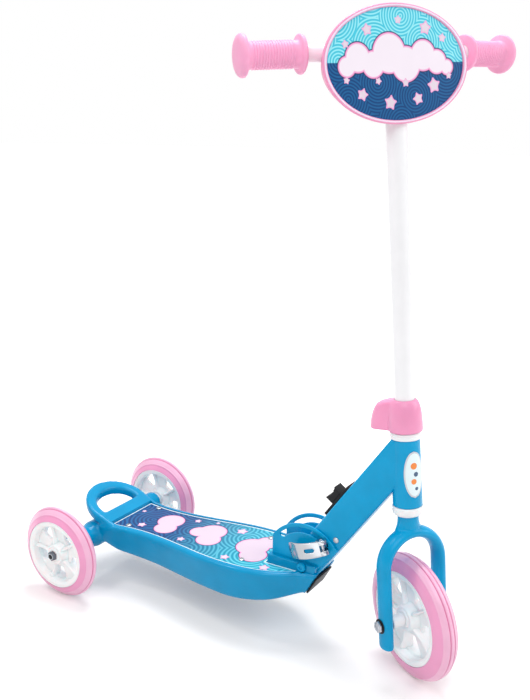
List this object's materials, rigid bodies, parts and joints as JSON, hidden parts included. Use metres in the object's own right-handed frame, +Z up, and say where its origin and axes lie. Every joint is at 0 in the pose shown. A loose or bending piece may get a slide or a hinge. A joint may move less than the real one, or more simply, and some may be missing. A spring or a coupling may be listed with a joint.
{
  "type": "three wheel kids scooter",
  "caption": "Children's kick scooter: steered front wheel, rear wheels on an axle, moulded deck with carrying handle, and a column that folds over the deck once a side lever is opened.",
  "frame": {"origin": "under the middle of the whole scooter as it stands, on the floor plane", "axes": "+Z up, +Y towards the rear of the deck, +X to the rider's left; the steering is turned 31 degrees to the rider's right as in the picture"},
  "size_m": [0.2838, 0.5514, 0.6995],
  "materials": {
    "blue_plastic": "glossy moulded plastic",
    "blue_metal": "glossy powder coat on steel",
    "white_metal": "glossy white paint on steel tube",
    "white_plastic": "white moulded plastic",
    "pink_plastic": "satin pink plastic",
    "pink_grip": "soft ribbed grip material",
    "pink_tyre": "smooth cast tyre with two fine grooves",
    "black_plastic": "matt black plastic",
    "steel": "zinc plated steel",
    "chrome": "polished chrome",
    "printed_film": "printed film, satin"
  },
  "bodies": {
    "deck": {"deck_shell": "blue_plastic", "deck_print": "printed_film", "deck_screw_1": "steel", "deck_screw_2": "steel", "deck_screw_3": "steel", "deck_screw_4": "steel", "fold_bracket": "blue_metal", "bracket_screw_1": "steel", "bracket_screw_2": "steel", "pivot_bolt": "blue_metal", "pivot_nut": "steel", "nose_strip": "black_plastic", "rear_axle": "steel", "rear_washer_right": "white_plastic", "rear_washer_left": "white_plastic", "rear_nut_right": "steel", "rear_nut_left": "steel"},
    "neck": {"neck_frame": "blue_metal", "neck_rivet": "steel", "lower_cup": "white_plastic", "upper_cup": "white_plastic", "head_badge": "white_plastic", "latch_base": "black_plastic"},
    "latch": {"latch_slider": "black_plastic"},
    "skewer": {"skewer": "steel", "skewer_nut": "steel"},
    "lever": {"quick_release_lever": "chrome"},
    "steering": {"fork": "blue_metal", "column": "white_metal", "handlebar": "white_metal", "grip_right": "pink_grip", "grip_left": "pink_grip", "plate_frame": "pink_plastic", "plate_picture": "printed_film", "plate_back": "pink_plastic", "plate_screw_1": "steel", "plate_screw_2": "steel", "clamp_cover": "pink_plastic", "column_clamp": "steel", "clamp_bolt": "steel", "front_axle": "steel", "front_nut": "steel", "fork_washer_right": "black_plastic", "fork_washer_left": "black_plastic", "front_spacer_right": "white_plastic", "front_spacer_left": "white_plastic"},
    "front_wheel": {"front_wheel_rim": "white_plastic", "front_wheel_tyre": "pink_tyre", "front_wheel_bush": "steel"},
    "rear_wheel_right": {"rear_wheel_right_rim": "white_plastic", "rear_wheel_right_tyre": "pink_tyre", "rear_wheel_right_bush": "steel"},
    "rear_wheel_left": {"rear_wheel_left_rim": "white_plastic", "rear_wheel_left_tyre": "pink_tyre", "rear_wheel_left_bush": "steel"}
  },
  "joints": [
    {"name": "fold", "type": "hinge", "parent": "deck", "child": "neck", "pos_m": [-0.00979, -0.08483, 0.097], "axis": [-1, 0, 0], "range_deg": [0, 83]},
    {"name": "latch_slide", "type": "slide", "parent": "neck", "child": "latch", "axis": [0, 0.5592, -0.829], "range_m": [0, 0.006], "stiffness_N_per_m": 300, "springref_m": -0.004},
    {"name": "skewer_turn", "type": "hinge", "parent": "neck", "child": "skewer", "pos_m": [-0.00979, -0.11094, 0.13041], "axis": [-1, 0, 0], "range_deg": [-83, 0]},
    {"name": "lever", "type": "hinge", "parent": "skewer", "child": "lever", "pos_m": [-0.03309, -0.11094, 0.13041], "axis": [0, 0.3256, 0.9455], "range_deg": [0, 150]},
    {"name": "steer", "type": "hinge", "parent": "neck", "child": "steering", "pos_m": [-0.00979, -0.21163, 0.0699], "axis": [0, 0.1024, 0.9947], "continuous": true},
    {"name": "front_spin", "type": "hinge", "parent": "steering", "child": "front_wheel", "pos_m": [-0.01148, -0.21445, 0.07019], "axis": [0.8581, -0.5108, 0.0526], "continuous": true},
    {"name": "rear_spin_right", "type": "hinge", "parent": "deck", "child": "rear_wheel_right", "pos_m": [-0.11029, 0.21717, 0.0585], "axis": [1, 0, 0], "continuous": true},
    {"name": "rear_spin_left", "type": "hinge", "parent": "deck", "child": "rear_wheel_left", "pos_m": [0.09071, 0.21717, 0.0585], "axis": [1, 0, 0], "continuous": true}
  ],
  "couplings": [
    {"joint": "skewer_turn", "follows": "fold", "ratio": -1}
  ]
}
